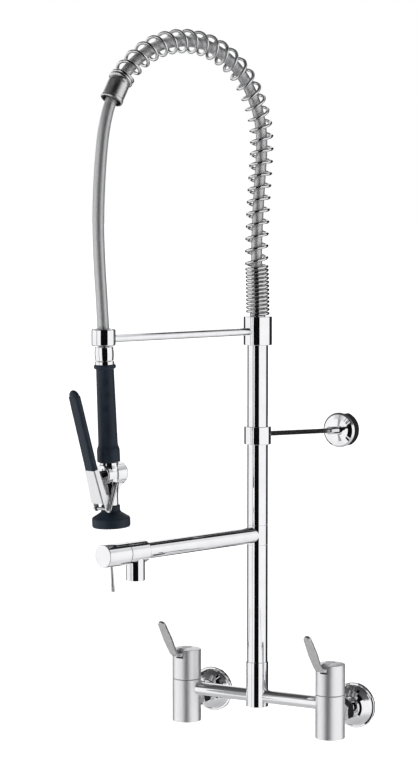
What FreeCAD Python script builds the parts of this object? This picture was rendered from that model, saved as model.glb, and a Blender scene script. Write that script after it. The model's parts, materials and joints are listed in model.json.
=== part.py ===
"""Wall-mounted pre-rinse faucet: two quarter-turn valves on a bridge, a riser with a swinging
spout, and an arm that carries a spring-guided hose and a squeeze spray gun.

Units are millimetres. The origin lies on the finished wall, midway between the two inlets.
+X runs right along the bridge, +Y runs into the wall and +Z runs up.
"""
import FreeCAD, Part
import math
import os
from FreeCAD import Vector

# ---- Driving dimensions ----
WALL_GAP = 74.0            # finished wall to the plane of the valves, bridge and riser
VALVE_PITCH = 222.0        # between the two valve axes
BRIDGE_Z = 15.0            # bridge axis above the inlet axis
CLEARANCE = 0.05           # radial clearance of every running fit
SEAM = 0.4                 # open seam between parts that turn against each other

RISER_R = 14.0
RISER_BORE_R = 11.5
TEE_R = 15.0
TEE_BOTTOM, TEE_TOP = 0.6, 62.0
BRIDGE_R = 9.0
BRIDGE_BORE_R = 6.5

VALVE_R = 19.7
VALVE_BOTTOM, VALVE_SEAM, CAP_TOP = -31.0, 28.0, 69.0
CAP_CROWN = 2.6              # rise of the cap's crown above its rim
DISC_TOP = CAP_TOP + CAP_CROWN
CHAMBER_R = 13.0
SPINDLE_R = 4.0
LEVER_THICKNESS = 4.2
NOTCH_HALF = 5.6           # half width of the cap's notch for the lever's root
LEVER_WIDTH = 13.2

INLET_R = 10.48            # outside of a G1/2 parallel thread
INLET_BORE_R = 7.0
INLET_LENGTH = 14.0        # thread standing past the finished wall
ESCUTCHEON_R = 31.0

SPOUT_Z = 235.2            # axis of the horizontal spout
SPOUT_ANGLE = -104.5       # direction of the spout at rest, from +X
SPOUT_COLLAR_HALF = 13.4
SPOUT_TUBE_R = 11.0
SPOUT_VALVE_R = 14.6
SPOUT_VALVE_START, SPOUT_VALVE_END, KNOB_END = 213.5, 246.0, 285.5
PIN_AT = 271.0             # knob's pin lever, along the spout
OUTLET_AT = 228.0
OUTLET_R = 12.3
OUTLET_BOTTOM = 198.5

STAY_Z = 371.5             # stay rod axis where it leaves the riser
STAY_DROOP = 3.4           # degrees that the stay rod falls towards the wall
STAY_R = 3.5
STAY_COLLAR_R = 18.2
STAY_COLLAR_Z = (358.0, 382.0)
ROSETTE_FRONT = 240.5      # riser axis to the rosette's front edge
ROSETTE_R, ROSETTE_DEPTH = 25.0, 17.5

ARM_ANGLE = -105.5         # direction of the arm, the arch and the spray gun at rest
ARM_Z = 510.0
ARM_REACH = 278.0          # riser axis to the guide ring's axis
ARM_ROD_R = 5.0
ARM_COLLAR_R = 19.2
ARM_COLLAR_Z = (491.6, 530.0)
RING_R, RING_HEIGHT, RING_BORE_R = 15.25, 21.5, 10.5
RING_Z = 512.0

HOSE_R = 7.5
SPRING_R = 16.0
SPRING_WALL = 0.85         # sleeve with the mass of the coiled wire
SPRING_SHARE = 0.30        # part of the last bend that the spring covers before its ferrule
SPRING_BENDS = 11          # bends of the hose's route that lie inside the spring

SPRAY_TILT = 2.9           # degrees that the hanging gun leans back towards the riser
LEVER_TILT = 13.7          # squeeze lever against the gun's axis
CROSSBAR = (14.2, -216.6)  # lever pivot, outward from the gun's axis and below the ring's centre
BARREL_Z = -174.0          # axis of the spray valve's stem
CHEST_BACK = -19.0         # flat back of the spray valve's casting

# Web under the casting's chest, running down into the neck.
GUSSET = [(0, -176), (-18.4, -176), (-18.4, -187.5), (-14.5, -191.0), (-11.2, -195.0), (-9.2, -200.0),
          (-8.0, -207.0), (0, -207)]
WIRE_R = 2.0               # bail wire of the spray gun
BAIL_X, BAIL_Z, BAIL_HALF = 1.6, -185.0, 14.6   # its pivot, and its legs' distance from the middle

# Route of the hose in the arm's plane: distance from the riser axis, and height.
HOSE_ROUTE = [
    (0, 530), (0, 572), (3.5, 612), (-1.5, 694), (-10, 776), (10, 826), (41, 862), (84, 884), (130, 891),
    (179, 884), (222, 862), (257, 826), (276, 781), (284, 718), (287, 652), (284, 595), (279.7, 545), (277.4, 500.5),
]

X_AXIS, Y_AXIS, Z_AXIS = Vector(1, 0, 0), Vector(0, 1, 0), Vector(0, 0, 1)
LEFT, RIGHT = SIDES = (-1, 1)
RISER = Vector(0, -WALL_GAP, 0)


# ---- Shape helpers ----
def cylinder(radius, start, end, along=Z_AXIS, at=Vector(0, 0, 0)):
    """Cylinder between two distances along an axis through a point."""
    return Part.makeCylinder(radius, end - start, at + along * start, along)


def tube(outer, inner, start, end, along=Z_AXIS, at=Vector(0, 0, 0)):
    return cylinder(outer, start, end, along, at).cut(cylinder(inner, start, end, along, at))


def box(x, y, z):
    """Box from three (low, high) pairs."""
    corner = Vector(x[0], y[0], z[0])
    return Part.makeBox(x[1] - x[0], y[1] - y[0], z[1] - z[0], corner)


def revolved(profile):
    """Solid turned about Z from (radius, height) points."""
    points = [Vector(radius, 0, height) for radius, height in profile]
    face = Part.Face(Part.makePolygon(points + points[:1]))
    return face.revolve(Vector(0, 0, 0), Z_AXIS, 360)


def turned_to(shape, direction, at=Vector(0, 0, 0)):
    """Move a shape made about Z so that its +Z points along a direction from a point."""
    moved = shape.copy()
    moved.Placement = FreeCAD.Placement(at, FreeCAD.Rotation(Z_AXIS, direction))
    return moved


def rounded(shape, radius, chosen):
    """Fillet the edges for which chosen(edge) is true."""
    return shape.makeFillet(radius, [edge for edge in shape.Edges if chosen(edge)])


def is_circle(edge, radius, along=Z_AXIS):
    curve = edge.Curve
    if not isinstance(curve, Part.Circle):
        return False
    return abs(curve.Radius - radius) < 1e-3 and abs(abs(curve.Axis.dot(along)) - 1) < 1e-6


def circle_at(edge, radius, height):
    return is_circle(edge, radius) and abs(edge.Curve.Center.z - height) < 1e-3


def at_riser(shape, angle=0.0):
    """Turn a shape made about the origin's Z axis to an angle and put it on the riser."""
    moved = shape.copy()
    moved.rotate(Vector(0, 0, 0), Z_AXIS, angle)
    moved.translate(RISER)
    return moved


def at_gun(shape):
    """Place a shape made in the gun's frame: origin at the guide ring's centre, +X away from the riser."""
    moved = shape.copy()
    moved.rotate(Vector(0, 0, 0), Y_AXIS, SPRAY_TILT)
    moved.translate(Vector(ARM_REACH, 0, RING_Z))
    return at_riser(moved, ARM_ANGLE)


def at_lever(shape):
    """Place a shape made about the squeeze lever's pivot, +Z along the lever."""
    moved = shape.copy()
    moved.rotate(Vector(0, 0, 0), Y_AXIS, LEVER_TILT)
    moved.translate(Vector(CROSSBAR[0], 0, CROSSBAR[1]))
    return at_gun(moved)


def common_solid(first, second):
    return first.common(second).removeSplitter()


# ---- Bridge, riser and wall stay: the fixed body ----
def bridge_tee():
    shape = cylinder(TEE_R, TEE_BOTTOM, TEE_TOP)
    shape = rounded(shape, 0.6, lambda edge: is_circle(edge, TEE_R))
    shape = shape.cut(cylinder(RISER_R, 40, TEE_TOP)).cut(cylinder(RISER_BORE_R, 7, 41))
    shape = shape.cut(cylinder(BRIDGE_BORE_R, -20, 20, X_AXIS, Vector(0, 0, BRIDGE_Z)))
    for side in SIDES:
        shape = shape.cut(cylinder(BRIDGE_R, 12, 20, X_AXIS * side, Vector(0, 0, BRIDGE_Z)))
    return at_riser(shape)


def bridge_tubes():
    inner_end, outer_end = 12.0, VALVE_PITCH / 2 - 16.0
    tubes = [tube(BRIDGE_R, BRIDGE_BORE_R, inner_end, outer_end, X_AXIS * side, Vector(0, 0, BRIDGE_Z))
             for side in SIDES]
    return at_riser(Part.makeCompound(tubes))


def riser_tube(bottom, top):
    return at_riser(tube(RISER_R, RISER_BORE_R, bottom, top))


def riser_core():
    """Ported tube inside the riser that the spout's collar turns on."""
    shape = tube(RISER_BORE_R, 8.0, 200, 268)
    for height in (SPOUT_Z - 8.8, SPOUT_Z + 8.8):
        shape = shape.cut(tube(RISER_BORE_R + 1, 10.0, height - 1.2, height + 1.2))
    for angle in range(0, 180, 60):
        port = cylinder(3.5, -20, 20, X_AXIS, Vector(0, 0, SPOUT_Z))
        port.rotate(Vector(0, 0, 0), Z_AXIS, angle)
        shape = shape.cut(port)
    return at_riser(shape)


def spout_o_rings():
    rings = []
    for height in (SPOUT_Z - 8.8, SPOUT_Z + 8.8):
        ring = tube(11.2, 10.0, height - 1.0, height + 1.0)
        rings.append(rounded(ring, 0.3, lambda edge: is_circle(edge, 11.2)))
    return at_riser(Part.makeCompound(rings))


def riser_head():
    """Plug in the riser's top that the arm's collar turns on and the hose tail seals in."""
    shape = cylinder(RISER_BORE_R, 468, ARM_COLLAR_Z[0] - SEAM)
    shape = shape.fuse(cylinder(12.0, ARM_COLLAR_Z[0] - SEAM, 524.0))
    shape = shape.cut(cylinder(6.0, 468, 500)).cut(cylinder(8.0 + CLEARANCE, 499, 524))
    return at_riser(shape.removeSplitter())


def stay_direction():
    angle = math.radians(STAY_DROOP)
    return Vector(0, math.cos(angle), -math.sin(angle))


def stay_collar():
    shape = cylinder(STAY_COLLAR_R, *STAY_COLLAR_Z)
    shape = rounded(shape, 0.8, lambda edge: is_circle(edge, STAY_COLLAR_R))
    shape = shape.cut(cylinder(RISER_R, *STAY_COLLAR_Z))
    shape = shape.cut(cylinder(STAY_R, 0, 30, stay_direction(), Vector(0, 0, STAY_Z)))
    shape = shape.cut(cylinder(2.5, 10, 30, X_AXIS, Vector(0, 0, 370)))
    return at_riser(shape)


def collar_screw():
    """Set screw that clamps the stay's collar on the riser, with its hexagon socket."""
    shape = cylinder(2.5, RISER_R, STAY_COLLAR_R - 0.5, X_AXIS, Vector(0, 0, 370))
    socket = turned_to(hexagon(2.5, 0, 2.5), X_AXIS, Vector(STAY_COLLAR_R - 2.5, 0, 370))
    return at_riser(shape.cut(socket))


def stay_rod():
    start = Vector(0, 0, STAY_Z)
    shape = cylinder(STAY_R, 0, ROSETTE_FRONT + ROSETTE_DEPTH - 2, stay_direction(), start)
    return at_riser(shape.cut(cylinder(RISER_R, 340, 400)))


def hexagon(across_flats, start, end):
    radius = across_flats / math.sqrt(3)
    points = [Vector(radius * math.cos(math.radians(60 * i + 30)),
                     radius * math.sin(math.radians(60 * i + 30)), start) for i in range(7)]
    return Part.Face(Part.makePolygon(points)).extrude(Vector(0, 0, end - start))


def wall_rosette():
    """Flange that slides on the stay rod until its flat back meets the wall."""
    boss_tip = ROSETTE_FRONT - 29.0
    front = ROSETTE_FRONT
    back = ROSETTE_FRONT + ROSETTE_DEPTH
    disc = revolved([(0, back), (ROSETTE_R, back), (ROSETTE_R, front + 3.0), (ROSETTE_R - 2.6, front + 0.4),
                     (ROSETTE_R - 9, front - 1.3), (ROSETTE_R - 17, front - 2.2), (0, front - 2.4)])
    disc = turned_to(disc, Y_AXIS, Vector(0, 0, stay_height(front)))
    boss = cylinder(5.6, boss_tip, front + 2, stay_direction(), Vector(0, 0, STAY_Z))
    boss = rounded(boss, 0.8, lambda edge: is_circle(edge, 5.6, stay_direction()))
    shape = disc.fuse(boss)
    bore = cylinder(STAY_R + CLEARANCE, boss_tip - 5, back + 5, stay_direction(), Vector(0, 0, STAY_Z))
    shape = shape.cut(bore)
    shape = shape.cut(cylinder(1.5, 0, 10, Z_AXIS * -1, Vector(0, front - 22, stay_height(front - 22))))
    return at_riser(shape.removeSplitter())


def rosette_screw():
    middle = Vector(0, ROSETTE_FRONT - 22, stay_height(ROSETTE_FRONT - 22))
    return at_riser(cylinder(1.45, STAY_R + 0.3, 5.4, Z_AXIS * -1, middle))


def stay_height(distance):
    return STAY_Z - distance * math.tan(math.radians(STAY_DROOP))


# ---- Valves: fixed bodies and turning handles ----
def at_valve(shape, side):
    moved = shape.copy()
    moved.translate(Vector(side * VALVE_PITCH / 2, -WALL_GAP, 0))
    return moved


def valve_body(side):
    """Chamber with a side port to the bridge and a nipple towards the wall."""
    toward_riser = X_AXIS * -side
    bridge_level = Vector(0, 0, BRIDGE_Z)
    shape = cylinder(VALVE_R, VALVE_BOTTOM, VALVE_SEAM)
    shape = rounded(shape, 0.8, lambda edge: is_circle(edge, VALVE_R))
    shape = shape.fuse(cylinder(8.0, 15, 34, Y_AXIS)).fuse(cylinder(12.0, 31, 34, Y_AXIS))
    shape = shape.cut(cylinder(CHAMBER_R, -8, VALVE_SEAM)).cut(cylinder(CHAMBER_R + 2, 19, VALVE_SEAM))
    shape = shape.cut(cylinder(5.5, 0, 40, Y_AXIS, Vector(0, 0, 0)))
    shape = shape.cut(cylinder(BRIDGE_BORE_R, 0, 30, toward_riser, bridge_level))
    shape = shape.cut(cylinder(BRIDGE_R, 16, 30, toward_riser, bridge_level))
    return at_valve(shape.removeSplitter(), side)


def both_valves(shape):
    return Part.makeCompound([at_valve(shape, side) for side in SIDES])


def valve_cartridges():
    """Ceramic-disc cartridges, with their waterways and the well for each spindle's foot."""
    shape = cylinder(CHAMBER_R - 0.1, -8, 19)
    shape = shape.cut(cylinder(SPINDLE_R + 1.5, 10, 19)).cut(cylinder(3.5, -8, 3))
    return both_valves(shape.cut(cylinder(3.5, 0, 14, Y_AXIS)))


def gland_nuts():
    """Nut over each cartridge that also guides its spindle."""
    nut = cylinder(CHAMBER_R + 1.9, 19, 27.5).fuse(hexagon(22, 27.5, 36)).removeSplitter()
    return both_valves(nut.cut(cylinder(SPINDLE_R + CLEARANCE, 19, 36)))


def spindle(side):
    shape = cylinder(SPINDLE_R, 18, 54).fuse(cylinder(SPINDLE_R + 1.0, 11, 18.6)).removeSplitter()
    return at_valve(shape, side)


def valve_cap(side):
    """Turning cap with a low crown and a square notch in its front rim for the lever."""
    shape = cylinder(VALVE_R, VALVE_SEAM + SEAM, CAP_TOP)
    shape = rounded(shape, 0.7, lambda edge: is_circle(edge, VALVE_R))
    crown_r = VALVE_R - 0.7
    ball_r = (crown_r ** 2 + CAP_CROWN ** 2) / (2 * CAP_CROWN)
    ball = Part.makeSphere(ball_r, Vector(0, 0, CAP_TOP + CAP_CROWN - ball_r))
    shape = shape.fuse(ball.common(cylinder(crown_r, CAP_TOP - 1, CAP_TOP + 2 * CAP_CROWN))).removeSplitter()
    shape = shape.cut(cylinder(VALVE_R - 3.2, VALVE_SEAM + SEAM, 44))
    shape = shape.cut(cylinder(SPINDLE_R, 43, 54)).cut(cylinder(7.0, DISC_TOP - 3.0, DISC_TOP + 1))
    shape = shape.cut(box((-NOTCH_HALF, NOTCH_HALF), (-25, -8.5), (58, DISC_TOP + 1)))
    return at_valve(shape.removeSplitter(), side)


def index_disc(side):
    """Button set in the cap's top."""
    shape = cylinder(6.9, DISC_TOP - 2.9, DISC_TOP)
    shape = rounded(shape, 0.4, lambda edge: circle_at(edge, 6.9, DISC_TOP))
    return at_valve(shape, side)


def valve_lever(side):
    """Flat lever that leaves the notch and bends up to a rounded tip."""
    root, bend, tip = Vector(0, -8.8, 62.0), Vector(0, -33.0, 64.2), Vector(0, -66.0, 112.0)
    lower, upper = (bend - root).normalize(), (tip - bend).normalize()
    half_turn = lower.getAngle(upper) / 2
    bend_radius = 20.0
    setback = bend_radius * math.tan(half_turn)
    end_cap = LEVER_WIDTH / 2 - 1.2
    arc_start, arc_end = bend - lower * setback, bend + upper * setback
    centre = arc_start + Vector(0, -lower.z, lower.y) * -bend_radius
    towards_bend = (bend - centre).normalize()
    last = tip + upper * end_cap

    def offset_line(amount):
        """Edges of the side outline, offset from the lever's middle line."""
        up_lower, up_upper = Vector(0, lower.z, -lower.y) * amount, Vector(0, upper.z, -upper.y) * amount
        radius = (arc_start + up_lower - centre).Length
        return [root + up_lower, arc_start + up_lower, centre + towards_bend * radius,
                arc_end + up_upper, last + up_upper]

    top, bottom = offset_line(LEVER_THICKNESS / 2), offset_line(-LEVER_THICKNESS / 2)
    edges = [Part.LineSegment(top[0], top[1]).toShape(), Part.Arc(top[1], top[2], top[3]).toShape(),
             Part.LineSegment(top[3], top[4]).toShape(), Part.LineSegment(top[4], bottom[4]).toShape(),
             Part.LineSegment(bottom[4], bottom[3]).toShape(), Part.Arc(bottom[3], bottom[2], bottom[1]).toShape(),
             Part.LineSegment(bottom[1], bottom[0]).toShape(), Part.LineSegment(bottom[0], top[0]).toShape()]
    side_slab = Part.Face(Part.Wire(edges)).extrude(X_AXIS * 20)
    side_slab.translate(X_AXIS * -10)

    # The outline seen square to the upper stretch widens from the notch and ends in a half circle.
    across = Vector(0, upper.z, -upper.y)
    half_root, half_mid = NOTCH_HALF - 0.5, LEVER_WIDTH / 2
    reach = (tip - bend).Length
    corners = [Vector(-half_root, 0, -40), Vector(-half_root, 0, 6), Vector(-half_mid, 0, 0.52 * reach),
               Vector(-end_cap, 0, reach)]
    mirrored = [Vector(-point.x, 0, point.z) for point in reversed(corners)]
    outline = [Part.LineSegment(corners[i], corners[i + 1]).toShape() for i in range(3)]
    outline.append(Part.Arc(corners[3], Vector(0, 0, reach + end_cap), mirrored[0]).toShape())
    outline += [Part.LineSegment(mirrored[i], mirrored[i + 1]).toShape() for i in range(3)]
    outline.append(Part.LineSegment(mirrored[3], corners[0]).toShape())
    plan_slab = Part.Face(Part.Wire(outline)).extrude(Y_AXIS * 100)
    plan_slab.translate(Y_AXIS * -50)
    tilt = math.degrees(math.atan2(-upper.y, upper.z))
    plan_slab.rotate(Vector(0, 0, 0), X_AXIS, tilt)
    plan_slab.translate(bend)
    shape = common_solid(side_slab, plan_slab)
    far_edges = [edge for edge in shape.Edges if edge.BoundBox.YMin < -12 and edge.BoundBox.YMax < -9.5
                 and abs(abs(edge.tangentAt(edge.FirstParameter).dot(X_AXIS)) - 1) > 0.02
                 and abs(abs(edge.tangentAt(edge.FirstParameter).dot(across)) - 1) > 0.02]
    shape = shape.makeFillet(0.9, far_edges)
    return at_valve(shape, side)


# ---- Inlets ----
def inlet_unions():
    """Wall tails with the parallel thread that screws into each supply."""
    shape = cylinder(12.0, 36, 41, Y_AXIS).fuse(cylinder(INLET_R + 0.3, 41, WALL_GAP, Y_AXIS))
    shape = shape.fuse(cylinder(INLET_R, WALL_GAP, WALL_GAP + INLET_LENGTH, Y_AXIS))
    shape = shape.removeSplitter().cut(cylinder(INLET_BORE_R, 30, 100, Y_AXIS))
    edge_at = WALL_GAP + INLET_LENGTH
    shape = shape.makeChamfer(0.9, [edge for edge in shape.Edges if is_circle(edge, INLET_R, Y_AXIS)
                                    and abs(edge.Curve.Center.y - edge_at) < 1e-3])
    return both_valves(shape)


def union_nuts():
    corners = revolved([(0, 23), (15.6, 23), (17.4, 25), (17.4, 39), (15.6, 41), (0, 41)])
    nut = hexagon(30, 23, 41).common(corners)
    nut = nut.cut(cylinder(8.0, 20, 31)).cut(cylinder(12.0, 31, 45))
    return both_valves(turned_to(nut, Y_AXIS))


def union_seals():
    return both_valves(tube(11.5, 7.5, 34, 36, Y_AXIS))


def escutcheons():
    """Stepped, domed wall flanges, hollow behind."""
    outer = [(0, 0), (ESCUTCHEON_R, 0), (ESCUTCHEON_R, 2.6), (30.2, 3.4), (28.2, 3.8), (27.6, 6.5), (25.6, 10.2),
             (22.2, 13.6), (18.6, 15.8), (15.5, 17.2), (15.0, 20.0), (0, 20.0)]
    inner = [(0, -1), (28.6, -1), (28.6, 1.8), (26.0, 3.0), (25.4, 6.0), (23.6, 9.2), (20.6, 12.2), (17.4, 14.0),
             (13.0, 15.4), (0, 15.4)]
    shape = revolved(outer).cut(revolved(inner)).cut(cylinder(INLET_R + 0.4, -2, 25))
    return both_valves(turned_to(shape, Y_AXIS * -1, Y_AXIS * WALL_GAP))


# ---- Spout ----
def spout_collar():
    shape = tube(RISER_R, RISER_BORE_R + CLEARANCE, SPOUT_Z - SPOUT_COLLAR_HALF + SEAM / 2,
                 SPOUT_Z + SPOUT_COLLAR_HALF - SEAM / 2)
    shape = shape.cut(cylinder(6.0, 0, 20, X_AXIS, Vector(0, 0, SPOUT_Z)))
    return at_riser(shape, SPOUT_ANGLE)


def spout_axis_part(shape):
    """Place a shape made along +X at the spout's height."""
    moved = shape.copy()
    moved.translate(Vector(0, 0, SPOUT_Z))
    return at_riser(moved, SPOUT_ANGLE)


def spout_tube():
    shape = cylinder(SPOUT_TUBE_R, 0, SPOUT_VALVE_START + 6, X_AXIS).cut(cylinder(RISER_R, -20, 20))
    shape = shape.cut(cylinder(SPOUT_TUBE_R - 1.5, 0, 300, X_AXIS))
    return spout_axis_part(shape)


def outlet_valve_body():
    start, end = SPOUT_VALVE_START, SPOUT_VALVE_END
    shape = cylinder(SPOUT_VALVE_R, start, end, X_AXIS)
    shape = rounded(shape, 0.8, lambda edge: is_circle(edge, SPOUT_VALVE_R, X_AXIS)
                    and edge.Curve.Center.x < start + 1)
    shape = shape.cut(cylinder(SPOUT_TUBE_R, start, start + 6, X_AXIS))
    shape = shape.cut(cylinder(6.0, start, end, X_AXIS)).cut(cylinder(10.5, start + 8, end, X_AXIS))
    shape = shape.cut(cylinder(6.0, -20, 0, Z_AXIS, Vector(OUTLET_AT, 0, 0)))
    return spout_axis_part(shape)


def outlet_nozzle():
    """Down-turned outlet, saddled on the valve body."""
    bottom = OUTLET_BOTTOM - SPOUT_Z
    at = Vector(OUTLET_AT, 0, 0)
    shape = cylinder(OUTLET_R, bottom, 0, Z_AXIS, at)
    shape = rounded(shape, 0.7, lambda edge: circle_at(edge, OUTLET_R, bottom))
    shape = shape.cut(cylinder(SPOUT_VALVE_R, 150, 300, X_AXIS))
    shape = shape.cut(cylinder(7.0, bottom, 0, Z_AXIS, at)).cut(cylinder(10.0, bottom, bottom + 12, Z_AXIS, at))
    return spout_axis_part(shape)


def aerator():
    """Insert with a ring of fine holes."""
    bottom = OUTLET_BOTTOM - SPOUT_Z
    at = Vector(OUTLET_AT, 0, 0)
    shape = cylinder(10.0, bottom + 0.8, bottom + 12, Z_AXIS, at)
    shape = shape.cut(cylinder(8.0, bottom + 3, bottom + 12, Z_AXIS, at))
    for ring_radius, count in ((2.2, 6), (4.6, 12), (6.8, 18)):
        for i in range(count):
            angle = 2 * math.pi * i / count
            hole_at = at + Vector(ring_radius * math.cos(angle), ring_radius * math.sin(angle), 0)
            shape = shape.cut(cylinder(0.6, bottom, bottom + 4, Z_AXIS, hole_at))
    return spout_axis_part(shape)


def outlet_cartridge():
    start, end = SPOUT_VALVE_START + 8, SPOUT_VALVE_END - 0.6
    shape = cylinder(10.4, start, end, X_AXIS)
    shape = shape.cut(cylinder(SPINDLE_R + CLEARANCE, start + 6, end, X_AXIS))
    shape = shape.cut(cylinder(3.0, start, start + 7, X_AXIS)).cut(
        cylinder(2.5, -12, 0, Z_AXIS, Vector(OUTLET_AT - 2.5, 0, 0)))
    return spout_axis_part(shape)


def outlet_knob():
    start = SPOUT_VALVE_END + SEAM
    shape = cylinder(SPOUT_VALVE_R + 0.2, start, KNOB_END, X_AXIS)
    shape = rounded(shape, 0.9, lambda edge: is_circle(edge, SPOUT_VALVE_R + 0.2, X_AXIS))
    shape = shape.cut(cylinder(SPINDLE_R, start, KNOB_END - 21, X_AXIS)).cut(knob_lever_raw(0.0))
    return spout_axis_part(shape)


def knob_spindle():
    return spout_axis_part(cylinder(SPINDLE_R, SPOUT_VALVE_START + 15, KNOB_END - 21.5, X_AXIS))


def knob_lever_raw(top_chamfer):
    """Slim pin that widens downwards, turned a little about the spout's axis."""
    shape = revolved([(0, -46.5), (2.0, -46.5), (2.4, -46.0), (1.7, -14), (1.7, -9.5 - top_chamfer),
                      (1.7 - top_chamfer, -9.5), (0, -9.5)])
    shape.translate(Vector(PIN_AT, 0, 0))
    shape.rotate(Vector(0, 0, 0), X_AXIS, 4.5)
    return shape


def knob_lever():
    return spout_axis_part(knob_lever_raw(0.2))


# ---- Arm, spring and hose ----
def arm_collar():
    low, high = ARM_COLLAR_Z
    shape = cylinder(ARM_COLLAR_R, low, high)
    shape = rounded(shape, 0.8, lambda edge: is_circle(edge, ARM_COLLAR_R))
    shape = shape.cut(cylinder(12.0 + CLEARANCE, low, 524.4)).cut(cylinder(10.0, 524, high))
    shape = shape.cut(cylinder(ARM_ROD_R, 14, 25, X_AXIS, Vector(0, 0, ARM_Z)))
    return at_riser(shape, ARM_ANGLE)


def arm_rod():
    shape = cylinder(ARM_ROD_R, 14, ARM_REACH - 12.5, X_AXIS, Vector(0, 0, ARM_Z))
    return at_riser(shape, ARM_ANGLE)


def guide_ring():
    at = Vector(ARM_REACH, 0, RING_Z)
    half = RING_HEIGHT / 2
    shape = cylinder(RING_R, -half, half, Z_AXIS, at)
    shape = rounded(shape, 2.2, lambda edge: is_circle(edge, RING_R))
    shape = shape.cut(cylinder(RING_BORE_R, -half, half, Z_AXIS, at))
    shape = shape.cut(cylinder(ARM_ROD_R, 0, ARM_REACH - 12.5, X_AXIS, Vector(0, 0, ARM_Z)))
    return at_riser(shape, ARM_ANGLE)


def ring_liner():
    """Plastic bush that the hose runs through."""
    half = RING_HEIGHT / 2 - 0.6
    shape = tube(RING_BORE_R, HOSE_R + 0.8, -half, half, Z_AXIS, Vector(ARM_REACH, 0, RING_Z))
    return at_riser(shape, ARM_ANGLE)


def hose_tail():
    """Fitting crimped on the hose's lower end, turning in the riser head."""
    shape = cylinder(8.0, 502, 530).fuse(cylinder(9.9, 525, 552)).removeSplitter()
    shape = shape.cut(cylinder(5.0, 502, 531)).cut(cylinder(HOSE_R, 530, 552))
    return at_riser(shape, ARM_ANGLE)


def bend_at(index):
    """Start, middle and end of the arc that rounds a point of the route, with its centre and radius."""
    before, corner, after = [Vector(u, 0, z) for u, z in HOSE_ROUTE[index - 1:index + 2]]
    back, ahead = before - corner, after - corner
    setback = 0.45 * min(back.Length, ahead.Length)
    half_turn = (math.pi - back.getAngle(ahead)) / 2
    radius = setback / math.tan(half_turn)
    start = corner + back.normalize() * setback
    end = corner + ahead.normalize() * setback
    inward = (back + ahead).normalize()
    centre = corner + inward * (radius / math.cos(half_turn))
    middle = centre - inward * radius
    return start, middle, end, centre, radius


def route_wire(last_bend, share=1.0):
    """Runs joined by tangent arcs, up to a share of the last bend, or to the route's end."""
    edges = []
    here = Vector(HOSE_ROUTE[0][0], 0, HOSE_ROUTE[0][1])
    for index in range(1, last_bend + 1):
        start, middle, end, centre, radius = bend_at(index)
        edges.append(Part.LineSegment(here, start).toShape())
        if index == last_bend and share < 1.0:
            spoke, sweep = start - centre, (start - centre).getAngle(end - centre)
            turn = math.copysign(sweep, (spoke.cross(end - centre)).y)
            middle = centre + rotated(spoke, turn * share / 2)
            end = centre + rotated(spoke, turn * share)
        edges.append(Part.Arc(start, middle, end).toShape())
        here = end
    if share >= 1.0:
        edges.append(Part.LineSegment(here, Vector(HOSE_ROUTE[-1][0], 0, HOSE_ROUTE[-1][1])).toShape())
    return Part.Wire(edges), here


def rotated(vector, angle):
    """Vector turned about Y."""
    return FreeCAD.Rotation(Y_AXIS, math.degrees(angle)).multVec(vector)


def swept(wire, radius):
    """Round tube along a wire that starts straight up from the riser."""
    ring = Part.Wire(Part.makeCircle(radius, wire.Edges[0].valueAt(wire.Edges[0].FirstParameter), Z_AXIS))
    shape = Part.Wire(wire).makePipeShell([ring], True, True)
    return shape


def hose():
    wire, _ = route_wire(len(HOSE_ROUTE) - 2)
    shape = swept(wire, HOSE_R)
    radii = [round(bend_at(index)[4]) for index in range(1, len(HOSE_ROUTE) - 1)]
    print("hose bend radii", radii, "smallest in diameters", round(min(radii) / (2 * HOSE_R), 1))
    expected = math.pi * HOSE_R ** 2 * wire.Length
    print("hose length", round(wire.Length, 1), "volume over section times length",
          round(shape.Volume / expected, 4))
    return at_riser(shape, ARM_ANGLE)


def hose_spring():
    """Thin sleeve in the place of the coiled spring, from the arm's collar over the arch."""
    wire, _ = route_wire(SPRING_BENDS, SPRING_SHARE)
    shape = swept(wire, SPRING_R).cut(swept(wire, SPRING_R - SPRING_WALL))
    return at_riser(shape, ARM_ANGLE)


def spring_ferrule():
    """Cup on the spring's end, with a lip round its open mouth."""
    _, top = route_wire(SPRING_BENDS, SPRING_SHARE)
    _, _, _, centre, _ = bend_at(SPRING_BENDS)
    spoke = (top - centre).normalize()
    along = Vector(spoke.z, 0, -spoke.x)
    chord = rotated(along, math.radians(7.5))
    outer = revolved([(0, -10), (12.4, -10), (12.6, 0), (13.6, 0.6), (14.0, 3), (14.0, 22), (14.6, 23.0),
                      (14.6, 26.2), (13.8, 27), (0, 27)])
    inner = revolved([(0, -11), (10.6, -11), (10.6, 4), (12.2, 7), (12.2, 28), (0, 28)])
    shape = turned_to(outer.cut(inner), chord, top)
    return at_riser(shape, ARM_ANGLE)


# ---- Spray gun ----
def hose_end():
    """Flanged tail crimped in the hose's end, held in the gun's swivel nut."""
    shape = cylinder(6.0, -14.6, -11.6).fuse(cylinder(8.5, -18, -14.6)).fuse(cylinder(5.0, -26, -18))
    shape = shape.removeSplitter().cut(cylinder(3.5, -27, -11))
    return at_gun(shape)


def swivel_nut():
    outer = revolved([(0, -11.9), (11.2, -11.9), (11.6, -12.4), (12.0, -17), (12.2, -21), (12.0, -25),
                      (11.5, -29.0), (11.1, -29.6), (0, -29.6)])
    shape = outer.cut(cylinder(6.0 + CLEARANCE, -15, -11)).cut(cylinder(8.8, -20.5, -14.3))
    shape = shape.cut(cylinder(8.0, -30, -20))
    return at_gun(shape)


def lock_ring():
    shape = tube(12.2, 8.0, -34.5, -30.2)
    return at_gun(rounded(shape, 0.5, lambda edge: is_circle(edge, 12.2)))


def gun_tube():
    """Inner water tube through the rubber grip."""
    shape = cylinder(8.0, -162, -20.5).cut(cylinder(5.0 + CLEARANCE, -162, -20.5))
    return at_gun(shape)


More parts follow.
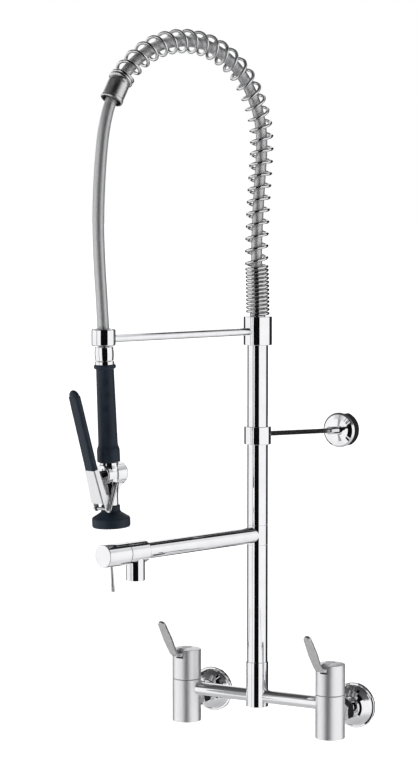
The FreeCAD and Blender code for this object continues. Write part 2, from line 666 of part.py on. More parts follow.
def spray_grip():
    """Rubber sleeve with a bead at its top and a wider band at its foot."""
    shape = revolved([(0, -34.5), (13.0, -34.5), (14.0, -35.6), (14.0, -38.2), (13.0, -39.4), (11.3, -40.4),
                      (12.4, -134), (12.7, -137), (14.3, -141.5), (14.6, -144), (14.6, -157.2), (13.9, -158),
                      (0, -158)])
    return at_gun(shape.cut(cylinder(8.0, -160, -30)))


def spray_body():
    """Casting with a vertical neck, a cross barrel for the valve stem and bosses for the wire bail."""
    neck = revolved([(0, -158.2), (11.0, -158.2), (11.6, -159), (11.6, -162), (12.8, -166), (12.8, -180),
                     (11.6, -188), (10.6, -196), (10.3, -204), (10.3, -213), (0, -213)])
    barrel = cylinder(13.4, -15, 12.5, X_AXIS, Vector(0, 0, BARREL_Z))
    barrel = rounded(barrel, 2.0, lambda edge: is_circle(edge, 13.4, X_AXIS) and edge.Curve.Center.x > 0)
    chest = cylinder(15.0, CHEST_BACK, -2, X_AXIS, Vector(0, 0, BARREL_Z))
    chest = rounded(chest, 1.6, lambda edge: is_circle(edge, 15.0, X_AXIS))
    nose = cylinder(6.0, 5, 17.5, X_AXIS, Vector(0, 0, BARREL_Z))
    gusset = Part.makePolygon([Vector(x, -7.5, z) for x, z in GUSSET + GUSSET[:1]])
    gusset = Part.Face(gusset).extrude(Y_AXIS * 15)
    upright = [edge for edge in gusset.Edges if edge.BoundBox.YLength < 1e-3 and edge.BoundBox.XMax < -7.9
               and edge.BoundBox.ZMax < -187]
    gusset = gusset.makeChamfer(1.6, upright)
    shape = neck.fuse([barrel, chest, nose, gusset]).removeSplitter()
    for side in SIDES:
        shape = shape.fuse(cylinder(4.2, 7, 12.2, Y_AXIS * side, Vector(BAIL_X, 0, BAIL_Z)))
    shape = shape.cut(cylinder(8.0, -162, -158)).cut(cylinder(4.5, -214, -158))
    shape = shape.cut(cylinder(6.5, CHEST_BACK - 1, 8, X_AXIS, Vector(0, 0, BARREL_Z)))
    shape = shape.cut(cylinder(2.5 + CLEARANCE, 0, 30, X_AXIS, Vector(0, 0, BARREL_Z)))
    shape = shape.cut(cylinder(6.0, -214, -206))
    for side in SIDES:
        shape = shape.cut(cylinder(WIRE_R, 10.3, 14, Y_AXIS * side, Vector(BAIL_X, 0, BAIL_Z)))
    return at_gun(shape.removeSplitter())


def spray_bonnet():
    """Domed screw plug behind the valve chest, hollow for the return spring."""
    back = -CHEST_BACK
    shape = revolved([(0, back), (11.6, back), (12.0, back + 0.5), (12.0, back + 2.6), (10.6, back + 4.4),
                      (7.6, back + 5.6), (4.0, back + 6.2), (0, back + 6.4)])
    shape = shape.cut(cylinder(6.0, back - 1, back + 2.0))
    return at_gun(turned_to(shape, X_AXIS * -1, Vector(0, 0, BARREL_Z)))


def stem_spring():
    """Return spring as a sleeve of its outer shape."""
    shape = tube(5.2, 4.0, -20.8, -7.4, X_AXIS, Vector(0, 0, BARREL_Z))
    return at_gun(shape)


def spray_stem():
    """Push stem: poppet behind the seat, and a domed button under the lever."""
    button = revolved([(0, 24.6), (4.0, 24.6), (4.0, 27.4), (3.4, 28.8), (2.0, 29.4), (0, 29.6)])
    shape = cylinder(2.5, -5, 25).fuse(cylinder(5.6, -7, -3.6)).fuse(button).removeSplitter()
    return at_gun(turned_to(shape, X_AXIS, Vector(0, 0, BARREL_Z)))


def lever_bail():
    """Bent wire that carries the squeeze lever below the valve."""
    bar = cylinder(WIRE_R, -BAIL_HALF, BAIL_HALF, Y_AXIS, Vector(CROSSBAR[0], 0, CROSSBAR[1]))
    shape = bar
    for side in SIDES:
        top = Vector(BAIL_X, side * BAIL_HALF, BAIL_Z)
        foot = Vector(CROSSBAR[0], side * BAIL_HALF, CROSSBAR[1])
        leg = foot - top
        shape = shape.fuse(Part.makeCylinder(WIRE_R, leg.Length, top, leg))
        shape = shape.fuse(Part.makeSphere(WIRE_R, foot)).fuse(Part.makeSphere(WIRE_R, top))
        shape = shape.fuse(cylinder(WIRE_R, 10.4, BAIL_HALF, Y_AXIS * side, Vector(BAIL_X, 0, BAIL_Z)))
    return at_gun(shape.removeSplitter())


def rose_shell():
    """Brass funnel inside the rubber bumper."""
    outer = revolved([(0, -207), (5.9, -207), (5.9, -213), (9.5, -213.2), (9.5, -221), (20.5, -229.5),
                      (20.5, -236), (0, -236)])
    inner = revolved([(0, -206), (4.2, -206), (4.2, -219), (6.0, -221), (18.0, -231), (18.0, -237), (0, -237)])
    return at_gun(outer.cut(inner))


def spray_face():
    """Perforated disc with rings of jets."""
    shape = cylinder(20.5, -238.8, -236)
    shape = rounded(shape, 0.6, lambda edge: circle_at(edge, 20.5, -238.8))
    for ring_radius, count in ((5.0, 6), (10.0, 12), (15.0, 18)):
        for i in range(count):
            angle = 2 * math.pi * i / count
            hole_at = Vector(ring_radius * math.cos(angle), ring_radius * math.sin(angle), 0)
            shape = shape.cut(cylinder(0.9, -240, -235, Z_AXIS, hole_at))
    return at_gun(shape)


def rose_bumper():
    """Rubber bumper round the spray head, open below."""
    outer = revolved([(0, -213.4), (11.2, -213.4), (12.0, -214.2), (12.0, -220), (13.2, -222.4), (21.0, -227.4),
                      (23.6, -229.0), (24.4, -230.6), (24.4, -239.4), (23.4, -241.2), (0, -241.2)])
    inner = revolved([(0, -213), (9.5, -213), (9.5, -221), (20.5, -229.5), (20.5, -242), (0, -242)])
    return at_gun(outer.cut(inner))


# ---- Squeeze lever ----
def spray_lever():
    """Channel that flares to a square foot with an ear at each side for the bail's crossbar, and a tongue inside
    the rubber grip."""
    half_foot, half_head, sheet, top, foot_z = 11.8, 9.2, 1.6, 54.0, 9.5

    def flared(inset):
        """Prism with the channel's front outline, drawn in by an inset."""
        foot, head = half_foot - inset, half_head - inset
        outline = [Vector(-12, -foot, -5), Vector(-12, -foot, 8), Vector(-12, -head, top), Vector(-12, head, top),
                   Vector(-12, foot, 8), Vector(-12, foot, -5)]
        return Part.Face(Part.makePolygon(outline + outline[:1])).extrude(X_AXIS * 24)

    outline = [Vector(-3.8, 0, 0), Vector(-3.8, 0, foot_z), Vector(-5.0, 0, foot_z), Vector(-5.0, 0, 17),
               Vector(-2.2, 0, 19), Vector(-1.0, 0, top), Vector(7.0, 0, top), Vector(7.0, 0, foot_z),
               Vector(3.8, 0, foot_z), Vector(3.8, 0, 0)]
    cheek_edges = [Part.LineSegment(outline[i], outline[i + 1]).toShape() for i in range(9)]
    cheek_edges.append(Part.Arc(outline[9], Vector(0, 0, -3.8), outline[0]).toShape())
    slab = Part.Face(Part.Wire(cheek_edges)).extrude(Y_AXIS * 2 * half_foot)
    slab.translate(Y_AXIS * -half_foot)
    slab = slab.common(flared(0))
    hollow = flared(sheet)
    slab = slab.cut(hollow.common(box((-10, 7.0 - sheet), (-15, 15), (-10, 60))))
    slab = slab.cut(hollow.common(box((-10, 10), (-15, 15), (-10, foot_z))))
    tongue = box((0.4, 4.6), (-4.5, 4.5), (50, 140))
    tongue = tongue.fuse(box((0.4, 5.6), (1.2 - half_head, half_head - 1.2), (50, top)))
    shape = slab.fuse(tongue).removeSplitter()
    shape = shape.cut(cylinder(WIRE_R + CLEARANCE, -20, 20, Y_AXIS))
    corners = [edge for edge in shape.Edges if edge.BoundBox.XMin > 6.9 and edge.BoundBox.ZLength > 20]
    return at_lever(shape.makeFillet(2.4, corners))


def lever_grip():
    """Rubber sleeve over the lever's tongue, widest at its foot and round at its tip."""
    def section(height, half_width, back, front):
        radius = min(half_width, (front - back) / 2) * 0.8
        core = box((back, front), (-half_width, half_width), (0, 1))
        upright = [edge for edge in core.Edges if edge.BoundBox.ZLength > 0.9]
        face = [f for f in core.makeFillet(radius, upright).Faces if f.BoundBox.ZMax < 1e-6][0]
        wire = face.OuterWire
        wire.translate(Vector(0, 0, height))
        return wire

    stations = [(54.2, 9.0, -1.9, 7.2), (62, 8.9, -1.9, 7.1), (100, 8.7, -1.8, 7.1), (140, 8.5, -1.7, 7.2),
                (152, 8.2, -1.7, 7.2)]
    shape = Part.makeLoft([section(*station) for station in stations], True, True)
    dome = Part.makeSphere(1.0)
    matrix = FreeCAD.Matrix()
    matrix.scale(4.45, 8.2, 8.4)
    dome = dome.transformGeometry(matrix)
    dome.translate(Vector(2.75, 0, 152))
    dome = dome.common(box((-10, 10), (-10, 10), (152, 170)))
    shape = shape.fuse(dome).cut(box((0.4, 4.6), (-4.5, 4.5), (54, 140)))
    return at_lever(shape)


# ---- Nodes ----
def all_parts():
    parts = {
        "bridge_tee": bridge_tee(), "bridge_tubes": bridge_tubes(), "valve_cartridges": valve_cartridges(),
        "inlet_unions": inlet_unions(), "escutcheons": escutcheons(),
        "lower_riser": riser_tube(40.0, SPOUT_Z - SPOUT_COLLAR_HALF - SEAM / 2),
        "upper_riser": riser_tube(SPOUT_Z + SPOUT_COLLAR_HALF + SEAM / 2, ARM_COLLAR_Z[0] - SEAM),
        "riser_core": riser_core(), "spout_o_rings": spout_o_rings(), "riser_head": riser_head(),
        "stay_collar": stay_collar(), "collar_screw": collar_screw(), "stay_rod": stay_rod(),
        "wall_rosette": wall_rosette(), "rosette_screw": rosette_screw(),
        "gland_nuts": gland_nuts(), "union_nuts": union_nuts(), "union_seals": union_seals(),
        "spout_collar": spout_collar(), "spout_tube": spout_tube(), "outlet_valve_body": outlet_valve_body(),
        "outlet_nozzle": outlet_nozzle(), "aerator": aerator(), "outlet_cartridge": outlet_cartridge(),
        "outlet_knob": outlet_knob(), "knob_spindle": knob_spindle(), "knob_lever": knob_lever(),
        "arm_collar": arm_collar(), "arm_rod": arm_rod(), "guide_ring": guide_ring(), "ring_liner": ring_liner(),
        "hose_tail": hose_tail(), "hose_end": hose_end(), "hose": hose(), "hose_spring": hose_spring(),
        "spring_ferrule": spring_ferrule(),
        "swivel_nut": swivel_nut(), "lock_ring": lock_ring(), "gun_tube": gun_tube(), "spray_grip": spray_grip(),
        "spray_body": spray_body(), "spray_bonnet": spray_bonnet(), "stem_spring": stem_spring(),
        "spray_stem": spray_stem(), "lever_bail": lever_bail(), "rose_shell": rose_shell(),
        "spray_face": spray_face(), "rose_bumper": rose_bumper(), "spray_lever": spray_lever(),
        "lever_grip": lever_grip(),
    }
    makers = {"valve_body": valve_body, "spindle": spindle, "cap": valve_cap, "index_disc": index_disc,
              "lever": valve_lever}
    for name, side in (("hot", LEFT), ("cold", RIGHT)):
        for piece, maker in makers.items():
            parts[name + "_" + piece] = maker(side)
    return parts


def main():
    os.makedirs("parts", exist_ok=True)
    for name, shape in all_parts().items():
        if not shape.isValid():
            print("invalid solid:", name)
        if shape.ShapeType == "Compound" and len(shape.Solids) == 1:
            shape = shape.Solids[0]
        shape.exportStep(os.path.join("parts", name + ".step"))


main()
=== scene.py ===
"""Looks of the wall-mounted pre-rinse faucet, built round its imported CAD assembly.

Everything is in metres, in the row's frame: the origin on the wall between the two inlets, +Y into
the wall, +Z up.
"""
import json
import math

import bpy
from mathutils import Matrix, Vector


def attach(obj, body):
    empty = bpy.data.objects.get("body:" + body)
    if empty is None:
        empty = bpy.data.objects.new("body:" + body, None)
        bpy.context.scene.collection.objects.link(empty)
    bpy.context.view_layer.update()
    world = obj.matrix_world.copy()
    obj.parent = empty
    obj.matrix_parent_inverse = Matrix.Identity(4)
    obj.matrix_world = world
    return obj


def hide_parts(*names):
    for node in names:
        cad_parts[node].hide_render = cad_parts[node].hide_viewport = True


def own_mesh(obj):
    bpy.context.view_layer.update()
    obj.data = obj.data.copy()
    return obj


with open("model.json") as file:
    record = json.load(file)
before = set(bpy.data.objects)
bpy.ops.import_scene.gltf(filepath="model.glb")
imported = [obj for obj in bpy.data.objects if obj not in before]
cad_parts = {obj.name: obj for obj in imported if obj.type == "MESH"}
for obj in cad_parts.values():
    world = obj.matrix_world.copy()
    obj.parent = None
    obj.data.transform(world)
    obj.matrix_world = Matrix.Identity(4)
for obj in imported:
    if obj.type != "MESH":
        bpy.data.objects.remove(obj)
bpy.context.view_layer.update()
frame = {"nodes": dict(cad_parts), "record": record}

RISER = Vector((0, -0.074, 0))
ARM_ANGLE = math.radians(-105.5)   # direction of the arm and of the hose's arch, from +X

# Route of the hose in the arm's plane: distance from the riser axis, and height, in metres.
HOSE_ROUTE = [
    (0, 0.530), (0, 0.572), (0.0035, 0.612), (-0.0015, 0.694), (-0.010, 0.776), (0.010, 0.826),
    (0.041, 0.862), (0.084, 0.884), (0.130, 0.891), (0.179, 0.884), (0.222, 0.862), (0.257, 0.826),
    (0.276, 0.781), (0.284, 0.718), (0.287, 0.652), (0.284, 0.595), (0.2797, 0.545), (0.2774, 0.5005),
]
HOSE_RADIUS = 0.0075
HOSE_SIDES, WIRE_SIDES = 28, 10
LINE_STEPS = 24                    # points in each span of the hose's smooth line
COIL_STEPS, RETURN_STEPS = 22, 24  # points in each turn of a coil

COIL_RADIUS = 0.01375              # axis of the spring's wire from the hose's line
COIL_WIRE = 0.00223
TIGHT_LENGTH, TIGHT_PITCH = 0.066, 0.0052
OPEN_PITCH, ARCH_PITCH, ARCH_START = 0.0162, 0.0190, 0.30
CLOSED_TURNS, CLOSED_PITCH = 2.0, 0.0038
NODE_SAMPLES = 400                 # vertices looked at to find where a CAD node lies along the hose

# Return spring of the spray valve: the way the stem is pushed against it, its wire, and how short it gets.
STEM_PUSH = Vector((0.266896, 0.962396, 0.050593))
RETURN_WIRE, RETURN_TURNS, RETURN_KEEP = 0.0006, 5, 0.496

BRAID_STRANDS, BRAID_PITCH = 18, 420.0   # strands round the hose, and crossings in a metre of it
SPREAD = (0.3, 0.7)                      # middle part of the noise, where nearly all its values lie
WAVE_SCALE = 45.0                        # scale of the noise that makes plated metal wavy

# Camera.
CAMERA_AZIMUTH, CAMERA_PITCH = math.radians(29.94), math.radians(4.25)
CAMERA_PLACE = Vector((1.49645, -2.80344, 0.66541))
CAMERA_LENS, CAMERA_SENSOR = 107.77, 36.0

# Studio: name, azimuth round the riser, distance from it, width, lower and upper height, and grey.
FLAGS = [
    ("front_flag", -11.0, 0.545, 0.49, (-0.5, 1.6), 0.004),
    ("stand_flag", -60.0, 1.0, 0.10, (-0.4, 1.6), 0.40),
    ("left_flag", -143.0, 1.2, 0.90, (-0.6, 0.95), 0.05),
    ("right_flag", 135.5, 1.2, 1.36, (-0.6, 2.0), 0.02),
    ("low_flag", 180.0, 1.3, 1.3, (-1.1, -0.28), 0.02),
]
FLAG_ZERO = -60.0                  # direction of a flag at azimuth 0, in degrees from +X
FLOOR_HEIGHT, FLOOR_SIZE, FLOOR_GREY, FLOOR_GLOW = -0.60, 600, 0.9, 0.9
# Tent: grey by the height of a direction on the unit sphere, before and behind the faucet.
FRONT_TENT = [(-1.0, 0.55), (-0.75, 0.65), (-0.5, 1.05), (0.0, 1.1), (0.30, 1.1), (0.46, 0.15), (1.0, 0.06)]
BACK_TENT = [(-1.0, 0.6), (-0.5, 1.0), (0.0, 1.1), (0.8, 1.0), (1.0, 0.06)]
TENT_BLEND = (0.35, 0.60)          # Y of a direction, where the front gives way to the back
KEY_PLACE, KEY_TARGET = Vector((-1.8, -2.2, 2.2)), Vector((0, -0.15, 0.4))
KEY_SIZE, KEY_POWER = 1.4, 40


# ---- Camera ----
def add_camera():
    """The view from the right of the faucet and a little above its middle."""
    data = bpy.data.cameras.new("camera")
    data.sensor_fit = "AUTO"
    data.sensor_width = CAMERA_SENSOR
    data.lens = CAMERA_LENS
    camera = bpy.data.objects.new("camera", data)
    level = math.cos(CAMERA_PITCH)
    back = Vector((math.sin(CAMERA_AZIMUTH) * level, -math.cos(CAMERA_AZIMUTH) * level,
                   math.sin(CAMERA_PITCH)))
    camera.location = CAMERA_PLACE
    camera.rotation_euler = back.to_track_quat("Z", "Y").to_euler()
    bpy.context.scene.collection.objects.link(camera)
    bpy.context.scene.camera = camera


# ---- Mesh helpers ----
def new_object(name, mesh):
    piece = bpy.data.objects.new(name, mesh)
    bpy.context.scene.collection.objects.link(piece)
    return piece


def line_frames(points):
    """A tangent and two normals at each point of a line, carried along it without twist."""
    count = len(points)
    tangents = [(points[min(i + 1, count - 1)] - points[max(i - 1, 0)]).normalized() for i in range(count)]
    normal = tangents[0].orthogonal().normalized()
    frames = []
    for tangent in tangents:
        normal = (normal - tangent * normal.dot(tangent)).normalized()
        frames.append((tangent, normal, tangent.cross(normal)))
    return frames


def distances(points):
    """Distance along the line at each of its points."""
    along = [0.0]
    for a, b in zip(points, points[1:]):
        along.append(along[-1] + (b - a).length)
    return along


def tube_mesh(name, points, radius, sides):
    """Closed round tube along a line, with U round it and V along it, both in metres."""
    vertices, faces, corners = [], [], []
    along = distances(points)
    for point, (_, normal, binormal) in zip(points, line_frames(points)):
        for k in range(sides):
            angle = 2 * math.pi * k / sides
            vertices.append(point + (normal * math.cos(angle) + binormal * math.sin(angle)) * radius)
    girth = 2 * math.pi * radius
    for i in range(len(points) - 1):
        for k in range(sides):
            after = (k + 1) % sides
            faces.append((i * sides + k, i * sides + after, (i + 1) * sides + after, (i + 1) * sides + k))
            left, right = girth * k / sides, girth * (k + 1) / sides
            corners += [(left, along[i]), (right, along[i]), (right, along[i + 1]), (left, along[i + 1])]
    last = (len(points) - 1) * sides
    faces.append(tuple(reversed(range(sides))))
    faces.append(tuple(range(last, last + sides)))
    corners += [(0.0, 0.0)] * (2 * sides)
    mesh = bpy.data.meshes.new(name)
    mesh.from_pydata(vertices, [], faces)
    layer = mesh.uv_layers.new(name="UVMap")
    for loop, corner in zip(layer.data, corners):
        loop.uv = corner
    for polygon in mesh.polygons:
        polygon.use_smooth = len(polygon.vertices) == 4
    return mesh


# ---- Hose and spring ----
def hose_line():
    """Points read from the smooth NURBS line whose control points are the hose's route."""
    curve = bpy.data.curves.new("hose_route", "CURVE")
    curve.dimensions = "3D"
    curve.resolution_u = LINE_STEPS
    spline = curve.splines.new("NURBS")
    spline.points.add(len(HOSE_ROUTE) - 1)
    for point, (reach, height) in zip(spline.points, HOSE_ROUTE):
        place = RISER + Vector((math.cos(ARM_ANGLE) * reach, math.sin(ARM_ANGLE) * reach, height))
        point.co = (*place, 1.0)
    spline.order_u = 3
    spline.use_endpoint_u = True
    route = bpy.data.objects.new("hose_route", curve)
    mesh = bpy.data.meshes.new_from_object(route)
    points = [vertex.co.copy() for vertex in mesh.vertices]
    bpy.data.meshes.remove(mesh)
    bpy.data.objects.remove(route)
    return points


def point_at(points, along, distance):
    """Place and direction at a distance along the line."""
    index = 1
    while index < len(along) - 1 and along[index] < distance:
        index += 1
    share = (distance - along[index - 1]) / (along[index] - along[index - 1])
    return points[index - 1].lerp(points[index], share), (points[index] - points[index - 1]).normalized()


def nearest_distance(points, along, place):
    return min(zip(points, along), key=lambda pair: (pair[0] - place).length_squared)[1]


def stretch_of(node, points, along):
    """First and last distance along the hose that a CAD node covers."""
    vertices = frame["nodes"][node].data.vertices
    step = max(1, len(vertices) // NODE_SAMPLES)
    covered = [nearest_distance(points, along, vertices[i].co) for i in range(0, len(vertices), step)]
    return min(covered), max(covered)


def coil_points(points, along, start, end):
    """The wire's line: tight turns at the arm, open turns over the arch and closed turns in the cup."""
    side = Vector((-math.sin(ARM_ANGLE), math.cos(ARM_ANGLE), 0))
    closed_from = end - CLOSED_TURNS * CLOSED_PITCH
    wire, distance, angle = [], start, 0.0
    while distance < end:
        if distance < start + TIGHT_LENGTH:
            pitch = TIGHT_PITCH
        elif distance > closed_from:
            pitch = CLOSED_PITCH
        else:
            pitch = OPEN_PITCH if distance < start + ARCH_START else ARCH_PITCH
        place, tangent = point_at(points, along, distance)
        normal = side.cross(tangent)
        wire.append(place + (normal * math.cos(angle) + side * math.sin(angle)) * COIL_RADIUS)
        angle += 2 * math.pi / COIL_STEPS
        distance += pitch / COIL_STEPS
    return wire


def add_hose():
    points = hose_line()
    along = distances(points)
    hose = new_object("hose_sheath", tube_mesh("hose_sheath", points, HOSE_RADIUS, HOSE_SIDES))
    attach(hose, "arm")
    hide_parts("hose")
    hose.data.materials.append(MATERIALS["hose"])
    start, end = stretch_of("hose_spring", points, along)
    wire = coil_points(points, along, start + COIL_WIRE, end - COIL_WIRE)
    spring = new_object("coil_spring", tube_mesh("coil_spring", wire, COIL_WIRE, WIRE_SIDES))
    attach(spring, "arm")
    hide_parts("hose_spring")
    spring.data.materials.append(MATERIALS["spring"])


def add_return_spring():
    """Coil in place of the spray valve's CAD sleeve, which in the real valve shortens as the lever pushes
    the stem in; here the coil keeps the sleeve's full length.
    """
    corners = [vertex.co.copy() for vertex in frame["nodes"]["stem_spring"].data.vertices]
    middle = sum(corners, Vector()) / len(corners)
    half = max((corner - middle).dot(STEM_PUSH) for corner in corners)
    offsets = [corner - middle - STEM_PUSH * (corner - middle).dot(STEM_PUSH) for corner in corners]
    radius = max(offset.length for offset in offsets) - RETURN_WIRE
    side = STEM_PUSH.cross(Vector((0, 0, 1))).normalized()
    up = side.cross(STEM_PUSH)
    steps = RETURN_TURNS * RETURN_STEPS
    wire = []
    for i in range(steps + 1):
        angle = 2 * math.pi * RETURN_TURNS * i / steps
        level = (half - RETURN_WIRE) * (2 * i / steps - 1)
        wire.append(middle + STEM_PUSH * level + (side * math.cos(angle) + up * math.sin(angle)) * radius)
    spring = new_object("return_spring", tube_mesh("return_spring", wire, RETURN_WIRE, WIRE_SIDES))
    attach(spring, "spray")
    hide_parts("stem_spring")
    spring.data.materials.append(MATERIALS["steel"])
    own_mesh(spring)


# ---- Materials ----
def new_material(name):
    material = bpy.data.materials.new(name)
    material.use_nodes = True
    return material, material.node_tree.nodes, material.node_tree.links


def noise(nodes, links, scale, detail=2.0, stretch=(1, 1, 1)):
    """Noise in the object's own metres, stretched along its axes."""
    place = nodes.new("ShaderNodeTexCoord")
    mapping = nodes.new("ShaderNodeMapping")
    mapping.inputs["Scale"].default_value = stretch
    texture = nodes.new("ShaderNodeTexNoise")
    texture.inputs["Scale"].default_value = scale
    texture.inputs["Detail"].default_value = detail
    links.new(place.outputs["Object"], mapping.inputs["Vector"])
    links.new(mapping.outputs["Vector"], texture.inputs["Vector"])
    return texture.outputs["Fac"]


def ranged(nodes, links, value, low, high):
    """Noise spread between two values."""
    spread = nodes.new("ShaderNodeMapRange")
    spread.inputs["From Min"].default_value = SPREAD[0]
    spread.inputs["From Max"].default_value = SPREAD[1]
    spread.inputs["To Min"].default_value = low
    spread.inputs["To Max"].default_value = high
    links.new(value, spread.inputs["Value"])
    return spread.outputs["Result"]


def tinted(nodes, links, value, dark, light):
    """Noise spread between two colours."""
    ramp = nodes.new("ShaderNodeValToRGB")
    for element, position, colour in zip(ramp.color_ramp.elements, SPREAD, (dark, light)):
        element.position = position
        element.color = (*colour, 1)
    links.new(value, ramp.inputs["Fac"])
    return ramp.outputs["Color"]


def bumped(nodes, links, value, distance, strength=1.0):
    bump = nodes.new("ShaderNodeBump")
    bump.inputs["Distance"].default_value = distance
    bump.inputs["Strength"].default_value = strength
    links.new(value, bump.inputs["Height"])
    return bump.outputs["Normal"]


def metal(name, dark, light, rough, wave=0.0, grain=60.0, stretch=(1, 1, 1)):
    """Plated or bare metal: slight change of tint and gloss over the surface, and its waviness."""
    material, nodes, links = new_material(name)
    shader = nodes["Principled BSDF"]
    shader.inputs["Metallic"].default_value = 1.0
    fine = noise(nodes, links, grain, 4.0, stretch)
    links.new(tinted(nodes, links, fine, dark, light), shader.inputs["Base Color"])
    links.new(ranged(nodes, links, fine, *rough), shader.inputs["Roughness"])
    if wave:
        swell = noise(nodes, links, WAVE_SCALE, 2.0, stretch)
        links.new(bumped(nodes, links, swell, wave), shader.inputs["Normal"])
    return material


def rubber():
    """Near-black moulded rubber with a fine pebble and a soft sheen."""
    material, nodes, links = new_material("black_rubber")
    shader = nodes["Principled BSDF"]
    coarse = noise(nodes, links, 90.0, 4.0)
    colour = tinted(nodes, links, coarse, (0.005, 0.010, 0.019), (0.011, 0.019, 0.032))
    links.new(colour, shader.inputs["Base Color"])
    links.new(ranged(nodes, links, coarse, 0.42, 0.55), shader.inputs["Roughness"])
    shader.inputs["Specular IOR Level"].default_value = 0.28
    links.new(bumped(nodes, links, noise(nodes, links, 2600.0, 1.0), 0.00008), shader.inputs["Normal"])
    return material


def plastic(name, dark, light, rough):
    material, nodes, links = new_material(name)
    shader = nodes["Principled BSDF"]
    coarse = noise(nodes, links, 80.0, 3.0)
    links.new(tinted(nodes, links, coarse, dark, light), shader.inputs["Base Color"])
    links.new(ranged(nodes, links, coarse, *rough), shader.inputs["Roughness"])
    return material


def hose_material():
    """Clear sheath over a fine metal braid, drawn from the tube's own girth and length."""
    material, nodes, links = new_material("hose_braid")
    shader = nodes["Principled BSDF"]
    shader.inputs["Metallic"].default_value = 0.85
    shader.inputs["Coat Weight"].default_value = 0.6
    shader.inputs["Coat Roughness"].default_value = 0.12
    coordinates = nodes.new("ShaderNodeTexCoord")
    girth = 2 * math.pi * HOSE_RADIUS
    braid = None
    for lean in (1, -1):
        mapping = nodes.new("ShaderNodeMapping")
        mapping.inputs["Scale"].default_value = (BRAID_STRANDS / girth, lean * BRAID_PITCH, 1)
        split = nodes.new("ShaderNodeSeparateXYZ")
        total = nodes.new("ShaderNodeMath")
        wave = nodes.new("ShaderNodeMath")
        wave.operation = "SINE"
        turns = nodes.new("ShaderNodeMath")
        turns.operation = "MULTIPLY"
        turns.inputs[1].default_value = 2 * math.pi
        links.new(coordinates.outputs["UV"], mapping.inputs["Vector"])
        links.new(mapping.outputs["Vector"], split.inputs["Vector"])
        links.new(split.outputs["X"], total.inputs[0])
        links.new(split.outputs["Y"], total.inputs[1])
        links.new(total.outputs["Value"], turns.inputs[0])
        links.new(turns.outputs["Value"], wave.inputs[0])
        if braid is None:
            braid = wave.outputs["Value"]
        else:
            both = nodes.new("ShaderNodeMath")
            both.operation = "MAXIMUM"
            links.new(braid, both.inputs[0])
            links.new(wave.outputs["Value"], both.inputs[1])
            braid = both.outputs["Value"]
    colour = tinted(nodes, links, braid, (0.34, 0.34, 0.35), (0.66, 0.66, 0.67))
    links.new(colour, shader.inputs["Base Color"])
    links.new(bumped(nodes, links, braid, 0.00012), shader.inputs["Normal"])
    shader.inputs["Roughness"].default_value = 0.22
    return material


MATERIALS = {
    "chrome": metal("polished_chrome", (0.80, 0.80, 0.82), (0.86, 0.86, 0.88), (0.02, 0.05), 0.00002),
    "body_chrome": metal("soft_chrome", (0.84, 0.84, 0.86), (0.90, 0.90, 0.92), (0.42, 0.48), 0.0, 160.0,
                         (1, 1, 0.04)),
    "satin": metal("satin_chrome", (0.62, 0.62, 0.63), (0.74, 0.74, 0.75), (0.28, 0.38), 0.00001, 220.0),
    "steel": metal("stainless_steel", (0.50, 0.50, 0.51), (0.62, 0.62, 0.63), (0.14, 0.24), 0.0, 180.0),
    "spring": metal("spring_wire", (0.62, 0.62, 0.63), (0.76, 0.76, 0.77), (0.08, 0.16), 0.0, 120.0),
    "brass": metal("raw_brass", (0.55, 0.40, 0.18), (0.70, 0.54, 0.27), (0.20, 0.36), 0.0, 140.0),
    "disc": metal("index_disc", (0.30, 0.30, 0.31), (0.42, 0.42, 0.43), (0.30, 0.42), 0.0, 300.0),
    "rubber": rubber(),
    "liner": plastic("nylon_liner", (0.04, 0.04, 0.04), (0.07, 0.07, 0.07), (0.45, 0.6)),
    "hose": hose_material(),
}
SLOT_MATERIAL = {
    "polished_chrome": "chrome", "satin_chrome": "satin", "stainless_steel": "steel", "raw_brass": "brass",
    "index_disc": "disc", "black_rubber": "rubber", "nylon_liner": "liner", "hose_sheath": "hose",
}
NODE_MATERIAL = {
    "hot_valve_body": "body_chrome", "cold_valve_body": "body_chrome", "hot_cap": "body_chrome",
    "cold_cap": "body_chrome", "spring_ferrule": "satin", "spray_lever": "body_chrome",
}


def dress_cad():
    """Give every CAD node its procedural material."""
    for subpart in frame["record"]["subparts"]:
        node = subpart["node"]
        material = MATERIALS[NODE_MATERIAL.get(node, SLOT_MATERIAL[subpart["material_slot"]])]
        for slot in frame["nodes"][node].material_slots:
            slot.material = material


# ---- Studio ----
def flat_material(name, grey, glow=0.0):
    """Matt grey without gloss, with a white glow."""
    material, nodes, _ = new_material(name)
    shader = nodes["Principled BSDF"]
    shader.inputs["Base Color"].default_value = (grey, grey, grey, 1)
    shader.inputs["Roughness"].default_value = 0.9
    shader.inputs["Specular IOR Level"].default_value = 0.0
    shader.inputs["Emission Color"].default_value = (1, 1, 1, 1)
    shader.inputs["Emission Strength"].default_value = glow
    return material


def panel(name, centre, facing, width, height):
    """Upright or tilted rectangle whose face looks along a direction."""
    turn = Vector(facing).to_track_quat("Z", "Y").to_matrix().to_4x4()
    corners = [(-width / 2, -height / 2, 0), (width / 2, -height / 2, 0), (width / 2, height / 2, 0),
               (-width / 2, height / 2, 0)]
    mesh = bpy.data.meshes.new(name)
    mesh.from_pydata([Matrix.Translation(centre) @ turn @ Vector(c) for c in corners], [], [(0, 1, 2, 3)])
    piece = new_object(name, mesh)
    return piece


def add_floor():
    floor = panel("floor", Vector((0, 0, FLOOR_HEIGHT)), (0, 0, 1), FLOOR_SIZE, FLOOR_SIZE)
    floor.data.materials.append(flat_material("floor_paint", FLOOR_GREY, FLOOR_GLOW))
    floor.visible_glossy = False


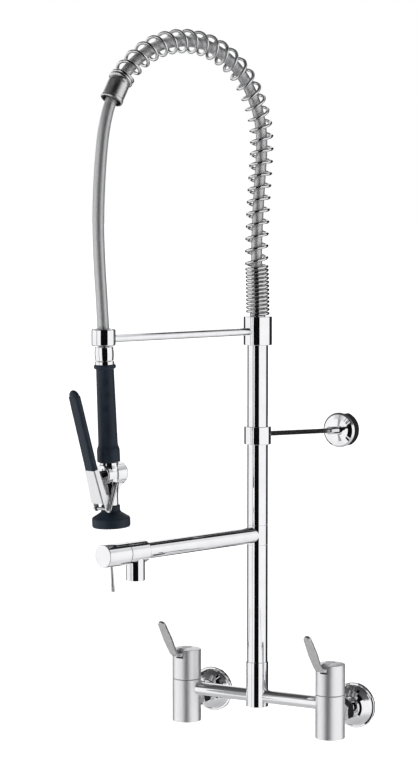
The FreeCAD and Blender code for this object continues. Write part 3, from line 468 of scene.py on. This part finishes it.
def add_flag(name, azimuth, distance, width, heights, grey):
    """Dark upright card round the riser, seen only in reflections."""
    towards = math.radians(azimuth + FLAG_ZERO)
    centre = RISER + Vector((math.cos(towards) * distance, math.sin(towards) * distance, sum(heights) / 2))
    facing = RISER + Vector((0, 0, centre.z)) - centre
    card = panel(name, centre, facing, width, heights[1] - heights[0])
    card.data.materials.append(flat_material(name + "_cloth", grey))
    card.visible_camera = False
    card.visible_diffuse = False
    card.visible_shadow = False


def sky(nodes, links, height, stops):
    """Grey by height of a direction's end on the unit sphere."""
    lift = nodes.new("ShaderNodeMapRange")
    lift.inputs["From Min"].default_value = -1.0
    ramp = nodes.new("ShaderNodeValToRGB")
    elements = ramp.color_ramp.elements
    while len(elements) < len(stops):
        elements.new(0.5)
    for element, (level, grey) in zip(elements, stops):
        element.position = (level + 1) / 2
        element.color = (grey, grey, grey, 1)
    links.new(height, lift.inputs["Value"])
    links.new(lift.outputs["Result"], ramp.inputs["Fac"])
    return ramp.outputs["Color"]


def mixed(nodes, links, share, first, second):
    mix = nodes.new("ShaderNodeMix")
    mix.data_type = "RGBA"
    links.new(share, mix.inputs["Factor"])
    links.new(first, mix.inputs["A"])
    links.new(second, mix.inputs["B"])
    return mix.outputs["Result"]


def add_world():
    """Bright even tent, with a dark ceiling over its front half, and white where the camera looks."""
    world = bpy.data.worlds.new("tent")
    world.use_nodes = True
    nodes, links = world.node_tree.nodes, world.node_tree.links
    direction = nodes.new("ShaderNodeTexCoord")
    split = nodes.new("ShaderNodeSeparateXYZ")
    links.new(direction.outputs["Generated"], split.inputs["Vector"])
    front = sky(nodes, links, split.outputs["Z"], FRONT_TENT)
    back = sky(nodes, links, split.outputs["Z"], BACK_TENT)
    behind = nodes.new("ShaderNodeMapRange")
    behind.inputs["From Min"].default_value = TENT_BLEND[0]
    behind.inputs["From Max"].default_value = TENT_BLEND[1]
    links.new(split.outputs["Y"], behind.inputs["Value"])
    tent = mixed(nodes, links, behind.outputs["Result"], front, back)
    white = nodes.new("ShaderNodeRGB")
    white.outputs["Color"].default_value = (1, 1, 1, 1)
    seen = nodes.new("ShaderNodeLightPath")
    shown = mixed(nodes, links, seen.outputs["Is Camera Ray"], tent, white.outputs["Color"])
    links.new(shown, nodes["Background"].inputs["Color"])
    nodes["Background"].inputs["Strength"].default_value = 1.0
    bpy.context.scene.world = world


def add_key_light():
    """Soft light from high on the left, which isn't mirrored in the chrome."""
    data = bpy.data.lights.new("key", "AREA")
    data.shape = "SQUARE"
    data.size = KEY_SIZE
    data.energy = KEY_POWER
    light = bpy.data.objects.new("key", data)
    light.location = KEY_PLACE
    light.rotation_euler = (KEY_PLACE - KEY_TARGET).to_track_quat("Z", "Y").to_euler()
    light.visible_glossy = False
    bpy.context.scene.collection.objects.link(light)


add_camera()
add_hose()
add_return_spring()
dress_cad()
add_floor()
for flag in FLAGS:
    add_flag(*flag)
add_world()
add_key_light()
bpy.context.scene.view_settings.view_transform = "Standard"
